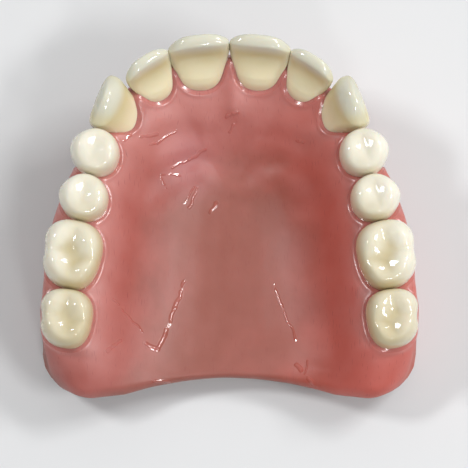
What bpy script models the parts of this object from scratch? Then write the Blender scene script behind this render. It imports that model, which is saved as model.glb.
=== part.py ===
"""Full upper denture, lying with its teeth up on the edge of its flange.

One pink acrylic base, with its palate plate and flange, carries fourteen separate teeth in sockets.
Metres, +Z up, +Y towards the front teeth, +X to the wearer's left. The origin is on the resting
plane, under the middle of the denture. The left half is modelled and the right half mirrors it.
"""

import math
from dataclasses import dataclass

import bmesh
import bpy
from mathutils import Vector
from mathutils.geometry import interpolate_bezier, intersect_point_line

# Arch line: a curve through the contact points of the teeth, seen from above.
ARCH_FRONT_Y = 0.0256
ARCH_FRONT_HANDLE = 0.0110
ARCH_CORNER_X = 0.0192
ARCH_CORNER_Y = 0.0126
ARCH_CORNER_TURN = 71.0
ARCH_CORNER_HANDLE_FRONT = 0.0095
ARCH_CORNER_HANDLE_BACK = 0.0078
ARCH_BACK_X = 0.0243
ARCH_BACK_Y = -0.0200
ARCH_BACK_HANDLE = 0.0120
ARCH_SAMPLES = 200

# Height of the biting edges over the resting plane, at the front and at the rear of the arch.
EDGE_HEIGHT_FRONT = 0.0215
EDGE_HEIGHT_BACK = 0.0186

# Teeth: width along the arch, depth across it, and height from the biting edge to the neck's end.
CENTRAL_WIDTH = 0.0093
CENTRAL_DEPTH = 0.0062
CENTRAL_HEIGHT = 0.0112
LATERAL_WIDTH = 0.0076
LATERAL_DEPTH = 0.0055
LATERAL_HEIGHT = 0.0102
CANINE_WIDTH = 0.0081
CANINE_DEPTH = 0.0070
CANINE_HEIGHT = 0.0108
PREMOLAR_WIDTH = 0.0069
PREMOLAR_DEPTH = 0.0076
PREMOLAR_HEIGHT = 0.0084
MOLAR_1_WIDTH = 0.0102
MOLAR_1_DEPTH = 0.0097
MOLAR_1_HEIGHT = 0.0082
MOLAR_2_WIDTH = 0.0086
MOLAR_2_DEPTH = 0.0086
MOLAR_2_HEIGHT = 0.0078
CONTACT_GAP = 0.00033
SOCKET_GAP = 0.0003
TOOTH_SEGMENTS = 20
TOOTH_RINGS = 12

# Front teeth. Each profile is a row of levels, from 0 at the biting edge to 1 at the neck, and its
# value at each of them: a share of the half width, or of the depth in front of or behind the edge.
# Near means towards the midline and far means away from it.
INCISOR_HALF_WIDTH = ((0.0, 0.2, 0.45, 0.8, 1.0), (0.95, 1.0, 0.97, 0.77, 0.66))
INCISOR_FRONT = ((0.0, 0.2, 0.5, 0.8, 1.0), (0.13, 0.18, 0.18, 0.07, -0.04))
INCISOR_BACK = ((0.0, 0.16, 0.38, 0.56, 0.76, 1.0), (-0.13, -0.24, -0.36, -0.50, -0.66, -0.68))
CANINE_HALF_WIDTH = ((0.0, 0.25, 0.5, 0.8, 1.0), (0.97, 1.0, 0.96, 0.78, 0.70))
CANINE_FRONT = ((0.0, 0.22, 0.45, 0.8, 1.0), (0.14, 0.25, 0.29, 0.18, 0.04))
CANINE_BACK = ((0.0, 0.18, 0.38, 0.56, 0.76, 1.0), (-0.16, -0.28, -0.42, -0.53, -0.65, -0.66))
WIDEST_PLACE = ((0.0, 0.4, 0.75, 1.0), (0.34, 0.28, 0.38, 0.50))
FRONT_NECK_ROUND = 0.0010
INCISOR_EDGE_ROUND = 0.0011
INCISOR_EDGE_END = 0.20
CANINE_EDGE_ROUND = 0.0018
CANINE_EDGE_END = 0.26
NECK_START = 0.86
OUTLINE_DEPTH_POWER = 0.85
INNER_DEPTH_POWER_GAIN = 0.10
INCISOR_WIDTH_POWER = 0.58
CANINE_WIDTH_POWER = 0.46
INNER_WIDTH_POWER_GAIN = 0.24
TONGUE_TAPER = 0.20
NEAR_CURVE = 0.0004
FAR_CURVE = 0.0006
HOLLOW_DEPTH = 0.0005
HOLLOW_START = 0.08
HOLLOW_LENGTH = 0.56
NEAR_CORNER = 0.0008
FAR_CORNER = 0.0017
CANINE_TIP_SIDE = -0.08
CANINE_TIP_ROUND = 0.34
CANINE_NEAR_SLOPE = 0.0019
CANINE_FAR_SLOPE = 0.0023

# Cheek teeth: how soft the cusps are, the waist, and the shape of the outlines from above.
CUSP_SOFTNESS = 0.00032
RIDGE_SLOPE = 0.55
RIDGE_TIP = 0.0010
WAIST_DROP = 0.0040
WAIST_SOFTNESS = 0.00030
TOP_DOME = 0.0006
TOP_END = 0.54
CHEEK_NECK_START = 0.84
CHEEK_NECK_SHARE = 0.84
CHEEK_NECK_ROUND = 0.0009
PREMOLAR_CHEEK_NARROWING = 0.26
PREMOLAR_TONGUE_NARROWING = 0.05
MOLAR_CHEEK_TAPER = 0.06
MOLAR_TONGUE_TAPER = 0.28
MOLAR_SKEW = 0.08
MOLAR_DENT = 0.07
MOLAR_DENT_TURN = math.radians(88)
MOLAR_DENT_WIDTH = 0.20

# Base: its walls, and the flange's edge with its notches for the folds of the lip and the cheek.
PALATE_THICKNESS = 0.0021
FLANGE_THICKNESS = 0.0024
BORDER_RADIUS = 0.0012
LIP_NOTCH_HEIGHT = 0.0034
LIP_NOTCH_WIDTH = 0.0018
CHEEK_NOTCH_HEIGHT = 0.0024
CHEEK_NOTCH_WIDTH = 0.0026
ROOT_BULGE = 0.0005
TUBEROSITY_LENGTH = 0.0066
END_ROUNDING = 0.0012
CORNER_SWEEP = 0.0067
CORNER_START_OUT = -0.0040
CORNER_END_OUT = 0.0041
CORNER_LENGTH = 0.0156
REAR_BOW = 0.0007
REAR_BOW_REACH = 0.0160
STATIONS_PER_TOOTH = 4
TUBEROSITY_STATIONS = 4
END_STATIONS = 3
PALATE_SHARES = (0.0, 0.12, 0.30, 0.52, 0.76)
SECTION_STEPS = (1, 2, 2, 2, 2, 2, 2, 2, 3, 2)
PALATE_STEPS = sum(SECTION_STEPS[: len(PALATE_SHARES)])
MERGE_DISTANCE = 0.00001

# Height of the palate's upper face along the midline, from its rear edge to the front teeth.
MIDLINE_Y = (-0.0240, -0.0150, -0.0050, 0.0030, 0.0080, 0.0130, 0.0190)
MIDLINE_UP = (0.0052, 0.0042, 0.0040, 0.0046, 0.0062, 0.0092, 0.0133)

# Sizes of the base's cross-section at six places along the arch: the midline, the canine, the
# second premolar, the first molar, the last tooth's end and the rear edge. Each section runs from
# a point on the midline out through the arch line. "Out" is measured from the arch line, away
# from the palate, and "up" from the resting plane.
SPINE_Y = (0.0062, 0.0042, -0.0015, -0.0075, -0.0190, -0.0238)
RISE_POWER = (1.5, 1.9, 2.5, 2.6, 2.5, 2.4)
LINGUAL_OUT = (-0.0052, -0.0047, -0.0041, -0.0047, -0.0044, -0.0050)
LINGUAL_UP = (0.0137, 0.0137, 0.0138, 0.0132, 0.0124, 0.0084)
PLATFORM_OUT = (-0.0022, -0.0020, 0.0000, 0.0000, 0.0000, -0.0008)
PLATFORM_UP = (0.0139, 0.0138, 0.0140, 0.0134, 0.0128, 0.0088)
LABIAL_OUT = (-0.0010, 0.0004, 0.0037, 0.0041, 0.0037, 0.0022)
LABIAL_UP = (0.0124, 0.0122, 0.0128, 0.0126, 0.0120, 0.0076)
PAPILLA_UP = (0.0026, 0.0018, 0.0016, 0.0013, 0.0006, 0.0000)
FLANGE_OUT = (-0.0010, 0.0004, 0.0039, 0.0041, 0.0038, 0.0030)
FLANGE_UP = (0.0066, 0.0062, 0.0068, 0.0062, 0.0060, 0.0050)
BORDER_OUT = (-0.0024, -0.0014, 0.0032, 0.0038, 0.0038, 0.0032)
BORDER_UP = (0.0006, -0.0009, 0.0012, -0.0009, -0.0006, 0.0026)
CREST_OUT = (-0.0058, -0.0050, -0.0008, -0.0004, -0.0004, -0.0012)
CREST_UP = (0.0086, 0.0088, 0.0090, 0.0088, 0.0084, 0.0066)
SHOULDER_OUT = (-0.0086, -0.0084, -0.0042, -0.0046, -0.0046, -0.0052)
SHOULDER_UP = (0.0072, 0.0074, 0.0074, 0.0072, 0.0068, 0.0056)

# Relief of the palate: the pad behind the front teeth, the soft folds on either side, and the low
# rim and the hollow where the front slope meets the floor. Each is a start, a bend and an end on
# plan, then its height and half its width.
PALATE_FOLDS = (
    ((0.0006, 0.0172), (0.0008, 0.0185), (0.0006, 0.0198), 0.00050, 0.00130),
    ((-0.0030, 0.0150), (-0.0075, 0.0165), (-0.0120, 0.0140), 0.00040, 0.00120),
    ((-0.0030, 0.0120), (-0.0070, 0.0115), (-0.0125, 0.0085), 0.00045, 0.00140),
    ((-0.0035, 0.0085), (-0.0080, 0.0070), (-0.0115, 0.0035), 0.00035, 0.00120),
    ((0.0030, 0.0145), (0.0080, 0.0160), (0.0120, 0.0130), 0.00030, 0.00120),
    ((0.0025, 0.0110), (0.0080, 0.0120), (0.0125, 0.0090), 0.00035, 0.00130),
    ((0.0030, 0.0080), (0.0075, 0.0075), (0.0110, 0.0040), 0.00025, 0.00120),
    ((-0.0045, 0.0080), (0.0022, 0.0052), (0.0092, 0.0086), 0.00022, 0.00150),
    ((0.0005, 0.0100), (0.0025, 0.0092), (0.0045, 0.0100), -0.00090, 0.00330),
)


@dataclass
class Tooth:
    """One tooth of the left side. Lean tips the biting edge towards the lip or cheek, twist turns it
    about the upright, both in degrees; out and drop move it off the arch line and down.
    """

    name: str
    form: str
    width: float
    depth: float
    height: float
    lean: float = 0.0
    twist: float = 0.0
    out: float = 0.0
    drop: float = 0.0
    middle: float = 0.0


LEFT_TEETH = (
    Tooth("central_incisor", "incisor", CENTRAL_WIDTH, CENTRAL_DEPTH, CENTRAL_HEIGHT, lean=11.0, twist=2.0),
    Tooth(
        "lateral_incisor", "incisor", LATERAL_WIDTH, LATERAL_DEPTH, LATERAL_HEIGHT,
        lean=10.0, twist=3.0, drop=0.0004,
    ),
    Tooth("canine", "canine", CANINE_WIDTH, CANINE_DEPTH, CANINE_HEIGHT, lean=2.0, twist=-5.0, out=0.0008),
    Tooth("first_premolar", "premolar", PREMOLAR_WIDTH, PREMOLAR_DEPTH, PREMOLAR_HEIGHT),
    Tooth("second_premolar", "premolar", PREMOLAR_WIDTH, PREMOLAR_DEPTH, PREMOLAR_HEIGHT),
    Tooth("first_molar", "molar", MOLAR_1_WIDTH, MOLAR_1_DEPTH, MOLAR_1_HEIGHT),
    Tooth("second_molar", "molar", MOLAR_2_WIDTH, MOLAR_2_DEPTH, MOLAR_2_HEIGHT),
)


def clear_scene():
    for old in list(bpy.data.objects):
        bpy.data.objects.remove(old, do_unlink=True)


def principled(name, colour, roughness):
    material = bpy.data.materials.new(name)
    material.use_nodes = True
    shader = material.node_tree.nodes["Principled BSDF"]
    shader.inputs["Base Color"].default_value = (*colour, 1.0)
    shader.inputs["Roughness"].default_value = roughness
    shader.inputs["Metallic"].default_value = 0.0
    return material


def through(stops, values, at):
    """The smooth curve through the values at rising stops, read at one place (cubic Hermite)."""
    at = min(max(at, stops[0]), stops[-1])
    last = len(stops) - 2
    i = min(last, max(k for k in range(last + 1) if stops[k] <= at))
    span = stops[i + 1] - stops[i]

    def slope(k):
        low, high = max(k - 1, 0), min(k + 1, last + 1)
        return (values[high] - values[low]) / (stops[high] - stops[low])

    t = (at - stops[i]) / span
    rise = t * t * (3 - 2 * t)
    start_bend = t * (1 - t) ** 2 * span * slope(i)
    end_bend = t * t * (1 - t) * span * slope(i + 1)
    return values[i] + (values[i + 1] - values[i]) * rise + start_bend - end_bend


def soft_max(values, softness):
    top = max(values)
    return top + softness * math.log(sum(math.exp((v - top) / softness) for v in values))


def soft_min(values, softness):
    return -soft_max([-v for v in values], softness)


def signed_power(value, power):
    return math.copysign(abs(value) ** power, value)


class Arch:
    """The arch line, read by the distance walked along it from the midline."""

    def __init__(self):
        turn = math.radians(ARCH_CORNER_TURN)
        along = Vector((math.cos(turn), -math.sin(turn)))
        front = Vector((0.0, ARCH_FRONT_Y))
        corner = Vector((ARCH_CORNER_X, ARCH_CORNER_Y))
        back = Vector((ARCH_BACK_X, ARCH_BACK_Y))
        first = interpolate_bezier(
            front,
            front + Vector((ARCH_FRONT_HANDLE, 0.0)),
            corner - along * ARCH_CORNER_HANDLE_FRONT,
            corner,
            ARCH_SAMPLES,
        )
        second = interpolate_bezier(
            corner,
            corner + along * ARCH_CORNER_HANDLE_BACK,
            back + Vector((0.0, ARCH_BACK_HANDLE)),
            back,
            ARCH_SAMPLES,
        )
        self.points = [Vector(p[:2]) for p in first] + [Vector(p[:2]) for p in second[1:]]
        self.walked = [0.0]
        for a, b in zip(self.points, self.points[1:]):
            self.walked.append(self.walked[-1] + (b - a).length)

    def at(self, distance):
        """The point at that distance. Past its end the line runs straight back."""
        past = distance - self.walked[-1]
        if past >= 0:
            return self.points[-1] + Vector((0.0, -past))
        i = next(k for k, w in enumerate(self.walked) if w > distance)
        share = (distance - self.walked[i - 1]) / (self.walked[i] - self.walked[i - 1])
        return self.points[i - 1].lerp(self.points[i], share)

    def heading(self, distance, step=0.0004):
        """The direction of travel, away from the midline, as an angle about +Z."""
        ahead = self.at(distance + step) - self.at(max(distance - step, 0.0))
        return math.atan2(ahead.y, ahead.x)


ARCH = Arch()


def place_teeth():
    """Sets the teeth side by side along the arch line, and returns the distance where each ends."""
    ends = []
    reached = CONTACT_GAP / 2
    for tooth in LEFT_TEETH:
        tooth.middle = reached + tooth.width / 2
        reached += tooth.width + CONTACT_GAP
        ends.append(reached)
    return ends


TOOTH_ENDS = place_teeth()
ARCH_END = TOOTH_ENDS[-1] + TUBEROSITY_LENGTH
PLACES = (
    0.0,
    LEFT_TEETH[2].middle,
    LEFT_TEETH[4].middle,
    LEFT_TEETH[5].middle,
    TOOTH_ENDS[-1],
    ARCH_END,
)


def edge_height(y):
    """Height of the plane of the biting edges, which falls a little towards the rear."""
    share = (y - ARCH_BACK_Y) / (ARCH_FRONT_Y - ARCH_BACK_Y)
    return EDGE_HEIGHT_BACK + (EDGE_HEIGHT_FRONT - EDGE_HEIGHT_BACK) * share


def shovel_level(polar, edge_end, edge_round, tooth):
    """How wide a front tooth is at that share of the way over it, how far under its edge, and its level."""
    neck = tooth.height - FRONT_NECK_ROUND
    if polar < edge_end:
        lift = polar / edge_end * math.pi / 2
        scale, z = math.sin(lift), -edge_round * (1 - math.cos(lift))
    elif polar < NECK_START:
        share = (polar - edge_end) / (NECK_START - edge_end)
        scale, z = 1.0, -edge_round - (neck - edge_round) * share
    else:
        lift = (polar - NECK_START) / (1 - NECK_START) * math.pi / 2
        scale, z = math.cos(lift), -neck - FRONT_NECK_ROUND * math.sin(lift)
    return scale, z, min(-z / neck, 1.0)


def front_outline(turn, half, front, back, level, width_power, tooth):
    """The plan of a front tooth at one level: widest at its contacts, boxy in front and round behind."""
    across, along = math.sin(turn), math.cos(turn)
    inner = max(-across, 0.0)
    middle = front + (back - front) * through(*WIDEST_PLACE, level)
    reach = front - middle if across > 0 else middle - back
    y = middle + reach * signed_power(across, OUTLINE_DEPTH_POWER + INNER_DEPTH_POWER_GAIN * inner)
    taper = 1 - TONGUE_TAPER * max(-y, 0.0) / tooth.depth
    x = half * taper * signed_power(along, width_power + INNER_WIDTH_POWER_GAIN * inner)
    return x, y, middle


def incisor_point(polar, turn, tooth):
    """A point of an incisor: a shovel with a rounded edge, a hollow towards the tongue and a thick neck."""
    scale, z, level = shovel_level(polar, INCISOR_EDGE_END, INCISOR_EDGE_ROUND, tooth)
    half = tooth.width / 2 * through(*INCISOR_HALF_WIDTH, level)
    front = tooth.depth * through(*INCISOR_FRONT, level)
    back = tooth.depth * through(*INCISOR_BACK, level)
    x, y, middle = front_outline(turn, half, front, back, level, INCISOR_WIDTH_POWER, tooth)
    x, y = x * scale, middle + (y - middle) * scale
    side = x / half
    y -= (NEAR_CURVE if side < 0 else FAR_CURVE) * abs(side) ** 3
    if turn < 0:
        share = min(max((level - HOLLOW_START) / HOLLOW_LENGTH, 0.0), 1.0)
        y -= HOLLOW_DEPTH * math.sin(math.pi * share) * (1 - min(side**2, 1.0)) ** 1.5 * math.sin(turn)
    corner = NEAR_CORNER if side < 0 else FAR_CORNER
    return Vector((x, y, z - corner * abs(side) ** 3 * (1 - level) ** 3))


def canine_point(polar, turn, tooth):
    """A point of a canine: one pointed cusp, with a ridge down its outer face and a thick neck."""
    scale, z, level = shovel_level(polar, CANINE_EDGE_END, CANINE_EDGE_ROUND, tooth)
    half = tooth.width / 2 * through(*CANINE_HALF_WIDTH, level)
    front = tooth.depth * through(*CANINE_FRONT, level)
    back = tooth.depth * through(*CANINE_BACK, level)
    x, y, middle = front_outline(turn, half, front, back, level, CANINE_WIDTH_POWER, tooth)
    x, y = x * scale, middle + (y - middle) * scale
    side = x / half - CANINE_TIP_SIDE
    slope = CANINE_NEAR_SLOPE if side < 0 else CANINE_FAR_SLOPE
    tip_drop = slope * (math.hypot(side, CANINE_TIP_ROUND) - CANINE_TIP_ROUND)
    return Vector((x, y, z - tip_drop * (1 - level) ** 2))


def segment_distance(x, y, start, end):
    """How far a point is from a line between two points, and the share of the line it lies beside."""
    run_x, run_y = end[0] - start[0], end[1] - start[1]
    share = ((x - start[0]) * run_x + (y - start[1]) * run_y) / (run_x**2 + run_y**2)
    share = min(max(share, 0.0), 1.0)
    return math.hypot(x - start[0] - run_x * share, y - start[1] - run_y * share), share


def ridge(x, y, start, end, slope=RIDGE_SLOPE):
    """Height of a ridge between two points, each given as (x, y, drop under the cusps' height)."""
    away, share = segment_distance(x, y, start, end)
    drop = start[2] + (end[2] - start[2]) * share
    return -drop - slope * (math.hypot(away, RIDGE_TIP) - RIDGE_TIP)


def premolar_top(x, y, tooth):
    w, d = tooth.width, tooth.depth
    cheek, tongue = (-0.02 * w, 0.27 * d, 0.0), (-0.05 * w, -0.27 * d, 0.0005)
    near, far = (-0.37 * w, 0.0, 0.0011), (0.37 * w, 0.0, 0.0011)
    centre = (0.0, 0.02 * d, 0.0013)
    corners = [cheek, near, tongue, far]
    heights = [ridge(x, y, a, b) for a, b in zip(corners, corners[1:] + corners[:1])]
    heights += [ridge(x, y, cheek, centre, 0.5), ridge(x, y, tongue, centre, 0.5)]
    return soft_max(heights, CUSP_SOFTNESS)


def molar_top(x, y, tooth):
    w, d = tooth.width, tooth.depth
    near_cheek, far_cheek = (-0.24 * w, 0.29 * d, 0.0001), (0.21 * w, 0.28 * d, 0.0002)
    near_tongue, far_tongue = (-0.17 * w, -0.27 * d, 0.0), (0.27 * w, -0.24 * d, 0.0007)
    near, far = (-0.40 * w, 0.02 * d, 0.0010), (0.40 * w, 0.0, 0.0012)
    centre, far_pit = (-0.04 * w, 0.03 * d, 0.0018), (0.20 * w, -0.06 * d, 0.0016)
    cheek_dip, tongue_dip = (0.0, 0.36 * d, 0.0012), (0.10 * w, -0.32 * d, 0.0012)
    rim = [near_cheek, cheek_dip, far_cheek, far, far_tongue, tongue_dip, near_tongue, near]
    heights = [ridge(x, y, a, b) for a, b in zip(rim, rim[1:] + rim[:1])]
    heights += [
        ridge(x, y, near_cheek, centre, 0.5),
        ridge(x, y, far_cheek, (0.06 * w, 0.0, 0.0014), 0.5),
        ridge(x, y, near_tongue, (0.03 * w, -0.02 * d, 0.0014), 0.45),
        ridge(x, y, far_tongue, far_pit, 0.5),
    ]
    return soft_max(heights, CUSP_SOFTNESS)


def premolar_outline(turn, tooth):
    """An egg, rounder towards the tongue and more pointed towards the cheek."""
    x = tooth.width / 2 * signed_power(math.cos(turn), 0.90)
    y = tooth.depth / 2 * signed_power(math.sin(turn), 0.96)
    narrowing = PREMOLAR_CHEEK_NARROWING if y > 0 else PREMOLAR_TONGUE_NARROWING
    return x * (1 - narrowing * (2 * y / tooth.depth) ** 2), y


def molar_outline(turn, tooth):
    """Four-lobed outline, wider at its front end, with a dent where the outer groove runs down."""
    x = tooth.width / 2 * signed_power(math.cos(turn), 0.76)
    y = tooth.depth / 2 * signed_power(math.sin(turn), 0.82)
    along = 2 * x / tooth.width
    taper = MOLAR_CHEEK_TAPER if y > 0 else MOLAR_TONGUE_TAPER
    y *= 1 - taper * (along + 1) / 2
    dent = MOLAR_DENT * math.exp(-(((turn - MOLAR_DENT_TURN) / MOLAR_DENT_WIDTH) ** 2))
    return x - MOLAR_SKEW * y, y * (1 - dent)


def cheek_tooth_point(polar, turn, tooth):
    """A point of a premolar or molar: cusps and grooves on top, a full waist and a narrower neck."""
    neck_drop = tooth.height - CHEEK_NECK_ROUND
    outline = molar_outline if tooth.form == "molar" else premolar_outline
    top = molar_top if tooth.form == "molar" else premolar_top
    outline_x, outline_y = outline(turn, tooth)
    if polar < TOP_END:
        lift = polar / TOP_END * math.pi / 2
        reach = math.sin(lift) ** 0.80
        x, y = outline_x * reach, outline_y * reach
        shoulder = -WAIST_DROP + (WAIST_DROP + TOP_DOME) * math.cos(lift) ** 0.72
        z = soft_min((shoulder, top(x, y, tooth)), WAIST_SOFTNESS)
    elif polar < CHEEK_NECK_START:
        share = (polar - TOP_END) / (CHEEK_NECK_START - TOP_END)
        reach = 1 - (1 - CHEEK_NECK_SHARE) * share**1.7
        x, y = outline_x * reach, outline_y * reach
        start = soft_min((-WAIST_DROP, top(outline_x, outline_y, tooth)), WAIST_SOFTNESS)
        z = start + (-neck_drop - start) * share
    else:
        lift = (polar - CHEEK_NECK_START) / (1 - CHEEK_NECK_START) * math.pi / 2
        reach = CHEEK_NECK_SHARE * math.cos(lift)
        x, y = outline_x * reach, outline_y * reach
        z = -neck_drop - CHEEK_NECK_ROUND * math.sin(lift)
    return Vector((x, y, z))


FORMS = {
    "incisor": incisor_point,
    "canine": canine_point,
    "premolar": cheek_tooth_point,
    "molar": cheek_tooth_point,
}


def tooth_mesh(name, tooth, side, swell):
    """A sphere whose points are moved to the tooth's form. Side -1 mirrors it for the right half."""
    bm = bmesh.new()
    bmesh.ops.create_uvsphere(bm, u_segments=TOOTH_SEGMENTS, v_segments=TOOTH_RINGS, radius=1.0)
    form = FORMS[tooth.form]
    for vert in bm.verts:
        polar = math.acos(min(max(vert.co.z, -1.0), 1.0)) / math.pi
        vert.co = form(polar, math.atan2(vert.co.y, vert.co.x), tooth)
    bm.normal_update()
    if swell:
        for vert in bm.verts:
            vert.co += vert.normal * swell
    if side < 0:
        bmesh.ops.scale(bm, vec=(-1.0, 1.0, 1.0), verts=bm.verts)
        bmesh.ops.reverse_faces(bm, faces=bm.faces)
    mesh = bpy.data.meshes.new(name)
    bm.to_mesh(mesh)
    bm.free()
    mesh.shade_smooth()
    return mesh


def tooth_object(name, tooth, side, swell, collection, frame):
    obj = bpy.data.objects.new(name, tooth_mesh(name, tooth, side, swell))
    collection.objects.link(obj)
    obj.parent = frame
    heading = ARCH.heading(tooth.middle)
    outward = Vector((-math.sin(heading), math.cos(heading)))
    spot = ARCH.at(tooth.middle) + outward * tooth.out
    yaw = heading + math.radians(tooth.twist)
    obj.location = (side * spot.x, spot.y, edge_height(spot.y) - tooth.drop)
    obj.rotation_euler = (-math.radians(tooth.lean), 0.0, side * yaw)
    return obj


def along_arch(sizes, distance):
    return through(PLACES, sizes, distance)


def between_teeth(distance):
    """1 where two teeth meet, falling to 0 at the middle of a tooth and behind the last one."""
    if distance > TOOTH_ENDS[-1]:
        return max(0.0, 1 - (distance - TOOTH_ENDS[-1]) / 0.0015)
    starts = (0.0, *TOOTH_ENDS[:-1])
    start, end = next(pair for pair in zip(starts, TOOTH_ENDS) if distance <= pair[1])
    return math.cos(math.pi * (distance - start) / (end - start)) ** 2


def border_height(distance):
    """Height of the flange's edge, with notches at the midline and behind each canine."""
    cheek_notch = TOOTH_ENDS[2] + 0.0010
    lip = LIP_NOTCH_HEIGHT * math.exp(-((distance / LIP_NOTCH_WIDTH) ** 2))
    cheek = CHEEK_NOTCH_HEIGHT * math.exp(-(((distance - cheek_notch) / CHEEK_NOTCH_WIDTH) ** 2))
    return along_arch(BORDER_UP, distance) + lip + cheek


def smooth_line(controls, steps):
    """Points of the smooth line through the controls, with so many steps in each of its spans."""
    walked = [0.0]
    for a, b in zip(controls, controls[1:]):
        walked.append(walked[-1] + (b - a).length)
    line = [controls[0]]
    for start, end, count in zip(walked, walked[1:], steps):
        line += [through(walked, controls, start + (end - start) * k / count) for k in range(1, count + 1)]
    return line


def section(distance, closing):
    """One cross-section of the base: the upper skin out to the flange's edge, then the tissue skin
    back to the midline. Closing draws the two skins together, up to 1 at the rear edge.
    """
    spot = ARCH.at(distance)
    spine = Vector((0.0, along_arch(SPINE_Y, distance)))
    reach = (spot - spine).length
    ray = (spot - spine) / reach
    power = along_arch(RISE_POWER, distance)
    meeting = between_teeth(distance)
    papilla = along_arch(PAPILLA_UP, distance) * meeting
    bulge = ROOT_BULGE * (0.5 - meeting)

    def control(out, up, more=0.0):
        return Vector((along_arch(out, distance), along_arch(up, distance) + more))

    def palate(share, rim, depth):
        """A point of the palate, which rises from the midline's own height to the rim."""
        rim_y = (spot + ray * rim.x).y
        out = -reach + (reach + rim.x) * share
        floor = through(MIDLINE_Y, MIDLINE_UP, (spot + ray * out).y) - depth
        rise = rim.y - through(MIDLINE_Y, MIDLINE_UP, rim_y) + depth
        return Vector((out, floor + rise * share**power))

    lingual = control(LINGUAL_OUT, LINGUAL_UP)
    flange = control(FLANGE_OUT, FLANGE_UP) + Vector((bulge, 0.0))
    border = Vector((along_arch(BORDER_OUT, distance), border_height(distance)))
    shoulder = control(SHOULDER_OUT, SHOULDER_UP)
    crest = control(CREST_OUT, CREST_UP)
    upper = smooth_line(
        (
            *(palate(share, lingual, 0.0) for share in PALATE_SHARES),
            lingual + Vector((0.0, papilla * 0.2)),
            control(PLATFORM_OUT, PLATFORM_UP, papilla),
            control(LABIAL_OUT, LABIAL_UP, papilla),
            flange,
            border + Vector((0.8, 0.7)) * BORDER_RADIUS,
            border,
        ),
        SECTION_STEPS,
    )
    inner_flange = flange - Vector((FLANGE_THICKNESS, (flange.y - border.y) * 0.35))
    tissue = smooth_line(
        (
            *(palate(share, shoulder, PALATE_THICKNESS) for share in PALATE_SHARES),
            shoulder,
            crest,
            Vector((inner_flange.x - 0.0007, crest.y - 0.0018)),
            inner_flange,
            border + Vector((-0.8, 0.7)) * BORDER_RADIUS,
            border,
        ),
        SECTION_STEPS,
    )
    sweep_share = max(0.0, 1 - (ARCH_END - distance) / CORNER_LENGTH) ** 1.5

    def placed(point, partner):
        out, up = point.lerp((point + partner) / 2, closing)
        on_plan = spot + ray * out
        swing = max(0.0, (out - CORNER_START_OUT) / (CORNER_END_OUT - CORNER_START_OUT)) ** 2
        bow = min(on_plan.x / REAR_BOW_REACH, 1.0)
        on_plan.y += (CORNER_SWEEP * swing + REAR_BOW * 4 * bow * (1 - bow)) * sweep_share
        return Vector((*on_plan, max(up, 0.0)))

    there = [placed(a, b) for a, b in zip(upper, tissue)]
    back = [placed(b, a) for a, b in zip(upper, tissue)]
    return there + back[-2::-1]


def base_sections():
    stations = [(0.0, 0.0)]
    start = 0.0
    for end in TOOTH_ENDS:
        count = STATIONS_PER_TOOTH
        stations += [(start + (end - start) * k / count, 0.0) for k in range(1, count + 1)]
        start = end
    last_full = ARCH_END - END_ROUNDING
    count = TUBEROSITY_STATIONS
    stations += [(start + (last_full - start) * k / count, 0.0) for k in range(1, count + 1)]
    for k in range(1, END_STATIONS + 1):
        turn = k / END_STATIONS * math.pi / 2
        stations.append((last_full + END_ROUNDING * math.sin(turn), 1 - math.cos(turn)))
    return [section(distance, closing) for distance, closing in stations]


def fold_lines():
    """Each fold as a smooth row of points on plan, with its height and half width."""
    lines = []
    for start, bend, end, height, half_width in PALATE_FOLDS:
        points = interpolate_bezier(*(Vector((*p, 0.0)) for p in (start, bend, bend, end)), 8)
        lines.append((points, height, half_width))
    return lines


def fold_height(spot, lines):
    """Height of the palate's folds at a place on plan."""
    total = 0.0
    for points, height, half_width in lines:
        nearest = 1.0
        for a, b in zip(points, points[1:]):
            share = intersect_point_line(spot, a, b)[1]
            nearest = min(nearest, (spot - a.lerp(b, min(max(share, 0.0), 1.0))).length)
        total += height * math.exp(-((nearest / half_width) ** 2))
    return total


def build_base(collection, cutters, frame, material):
    """A grid laid over the left half's cross-sections, mirrored, with a socket cut for each tooth."""
    sections = base_sections()
    folds = fold_lines()
    along, across = len(sections) - 1, len(sections[0]) - 1
    bm = bmesh.new()
    bmesh.ops.create_grid(bm, x_segments=along, y_segments=across, size=1.0)
    palate = bm.verts.layers.float.new("palate")
    for vert in bm.verts:
        i = round((vert.co.x + 1) / 2 * along)
        j = round((vert.co.y + 1) / 2 * across)
        vert.co = sections[i][j]
        vert[palate] = 1.0 if j < PALATE_STEPS else 0.0
    bmesh.ops.mirror(bm, geom=bm.verts[:] + bm.edges[:] + bm.faces[:], axis="X", merge_dist=MERGE_DISTANCE)
    bmesh.ops.remove_doubles(bm, verts=bm.verts, dist=MERGE_DISTANCE)
    bmesh.ops.recalc_face_normals(bm, faces=bm.faces)
    for vert in bm.verts:
        vert.co.z += vert[palate] * fold_height(Vector((vert.co.x, vert.co.y, 0.0)), folds)
    mesh = bpy.data.meshes.new("denture_base")
    bm.to_mesh(mesh)
    bm.free()
    mesh.materials.append(material)
    mesh.shade_smooth()
    base = bpy.data.objects.new("denture_base", mesh)
    collection.objects.link(base)
    base.parent = frame
    sockets = base.modifiers.new("sockets", "BOOLEAN")
    sockets.operation = "DIFFERENCE"
    sockets.operand_type = "COLLECTION"
    sockets.collection = cutters
    sockets.solver = "EXACT"


def centre_on_origin(frame, pieces):
    """Moves the frame along Y, so that the origin lies under the middle of the denture."""
    bpy.context.view_layer.update()
    along = [(piece.matrix_world @ vert.co).y for piece in pieces for vert in piece.data.vertices]
    frame.location.y -= (min(along) + max(along)) / 2


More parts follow.
